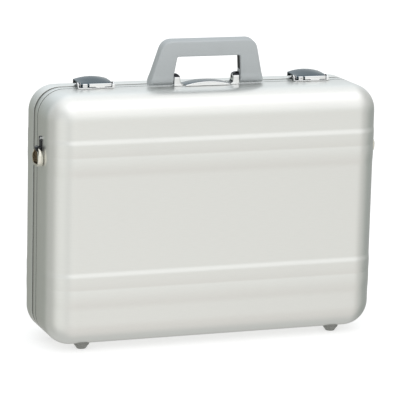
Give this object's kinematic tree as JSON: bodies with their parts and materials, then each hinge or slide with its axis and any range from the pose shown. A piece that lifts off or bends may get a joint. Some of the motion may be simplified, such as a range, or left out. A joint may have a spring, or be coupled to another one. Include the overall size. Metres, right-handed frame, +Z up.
{
  "type": "attache case",
  "caption": "Hard aluminium attache case with pressed ribs, a hinged lid on folding stays, lever latches, a folding carry handle, strap rings and stud feet.",
  "frame": {"origin": "centre of the case in X and Y, on the surface that its four feet stand on", "axes": "+X along the case's length, to the right seen from the deep front half; +Y from the deep front half to the lid; +Z up through the handle"},
  "size_m": [0.4724, 0.1414, 0.4023],
  "materials": {
    "shell_aluminium": "satin, fine blasted, anodised",
    "frame_aluminium": "satin, extruded, brushed along its length",
    "chrome": "polished",
    "steel": "brushed",
    "handle_grey": "matte grey with a fine grain",
    "gasket_rubber": "matte black",
    "foot_rubber": "matte charcoal",
    "lining_cloth": "short-pile charcoal cloth",
    "leather": "black pebbled leather"
  },
  "bodies": {
    "front_case": {"front_shell": "shell_aluminium", "front_frame": "frame_aluminium", "frame_gasket": "gasket_rubber", "front_lining": "lining_cloth", "front_foot_left": "foot_rubber", "front_foot_right": "foot_rubber", "handle_plate": "chrome", "handle_bracket_left": "chrome", "handle_bracket_right": "chrome", "handle_pin_left": "steel", "handle_pin_right": "steel", "latch_base_left": "chrome", "latch_base_right": "chrome", "latch_pin_left": "steel", "latch_pin_right": "steel", "hinge_front_leaf_left": "steel", "hinge_front_leaf_right": "steel", "hinge_pin_left": "steel", "hinge_pin_right": "steel", "ring_post_left": "chrome", "ring_post_right": "chrome", "stay_base_rivet_left": "steel", "stay_base_rivet_right": "steel", "strap_left": "leather", "strap_right": "leather", "strap_buckle_left": "chrome", "strap_buckle_right": "chrome"},
    "lid": {"back_shell": "shell_aluminium", "back_frame": "frame_aluminium", "back_lining": "lining_cloth", "rear_foot_left": "foot_rubber", "rear_foot_right": "foot_rubber", "latch_keeper_left": "chrome", "latch_keeper_right": "chrome", "hinge_lid_leaf_left": "steel", "hinge_lid_leaf_right": "steel", "stay_lid_rivet_left": "steel", "stay_lid_rivet_right": "steel", "organizer_panel": "leather", "document_pocket": "leather", "card_pocket": "leather", "pen_holder": "leather"},
    "handle": {"handle": "handle_grey"},
    "left_lever": {"latch_lever_left": "chrome"},
    "right_lever": {"latch_lever_right": "chrome"},
    "left_slide": {"release_slide_left": "chrome"},
    "right_slide": {"release_slide_right": "chrome"},
    "left_ring": {"strap_ring_left": "chrome"},
    "right_ring": {"strap_ring_right": "chrome"},
    "left_stay_arm": {"stay_arm_left": "steel"},
    "right_stay_arm": {"stay_arm_right": "steel"},
    "left_stay_link": {"stay_link_left": "steel"},
    "right_stay_link": {"stay_link_right": "steel"}
  },
  "joints": [
    {"name": "lid_hinge", "type": "hinge", "parent": "front_case", "child": "lid", "pos_m": [0, 0.015, 0.0039], "axis": [-1, 0, 0], "range_deg": [0, 95]},
    {"name": "handle_pivot", "type": "hinge", "parent": "front_case", "child": "handle", "pos_m": [0, -0.006, 0.349], "axis": [1, 0, 0], "range_deg": [-98, 78]},
    {"name": "left_lever_pivot", "type": "hinge", "parent": "front_case", "child": "left_lever", "pos_m": [-0.151, -0.0015, 0.3434], "axis": [1, 0, 0], "range_deg": [0, 85]},
    {"name": "right_lever_pivot", "type": "hinge", "parent": "front_case", "child": "right_lever", "pos_m": [0.151, -0.0015, 0.3434], "axis": [1, 0, 0], "range_deg": [0, 85]},
    {"name": "left_release", "type": "slide", "parent": "front_case", "child": "left_slide", "axis": [1, 0, 0], "range_m": [0, 0.002], "stiffness_N_per_m": 300, "springref_m": -0.001},
    {"name": "right_release", "type": "slide", "parent": "front_case", "child": "right_slide", "axis": [1, 0, 0], "range_m": [0, 0.002], "stiffness_N_per_m": 300, "springref_m": -0.001},
    {"name": "left_ring_swing", "type": "hinge", "parent": "front_case", "child": "left_ring", "pos_m": [-0.2328, -0.018, 0.265], "axis": [0, 1, 0], "range_deg": [0, 150]},
    {"name": "right_ring_swing", "type": "hinge", "parent": "front_case", "child": "right_ring", "pos_m": [0.2328, -0.018, 0.265], "axis": [0, -1, 0], "range_deg": [0, 150]},
    {"name": "left_arm_pivot", "type": "hinge", "parent": "front_case", "child": "left_stay_arm", "pos_m": [-0.2198, 0.0032, 0.0989], "axis": [-1, 0, 0], "range_deg": [0, 95]},
    {"name": "right_arm_pivot", "type": "hinge", "parent": "front_case", "child": "right_stay_arm", "pos_m": [0.2198, 0.0032, 0.0989], "axis": [-1, 0, 0], "range_deg": [0, 95]},
    {"name": "left_link_pivot", "type": "hinge", "parent": "lid", "child": "left_stay_link", "pos_m": [-0.2178, 0.0255, 0.1039], "axis": [-1, 0, 0], "range_deg": [-95, 0]},
    {"name": "right_link_pivot", "type": "hinge", "parent": "lid", "child": "right_stay_link", "pos_m": [0.2178, 0.0255, 0.1039], "axis": [-1, 0, 0], "range_deg": [-95, 0]}
  ],
  "couplings": [
    {"joint": "left_arm_pivot", "follows": "lid_hinge", "ratio": 1},
    {"joint": "right_arm_pivot", "follows": "lid_hinge", "ratio": 1},
    {"joint": "left_link_pivot", "follows": "lid_hinge", "ratio": -1},
    {"joint": "right_link_pivot", "follows": "lid_hinge", "ratio": -1}
  ]
}
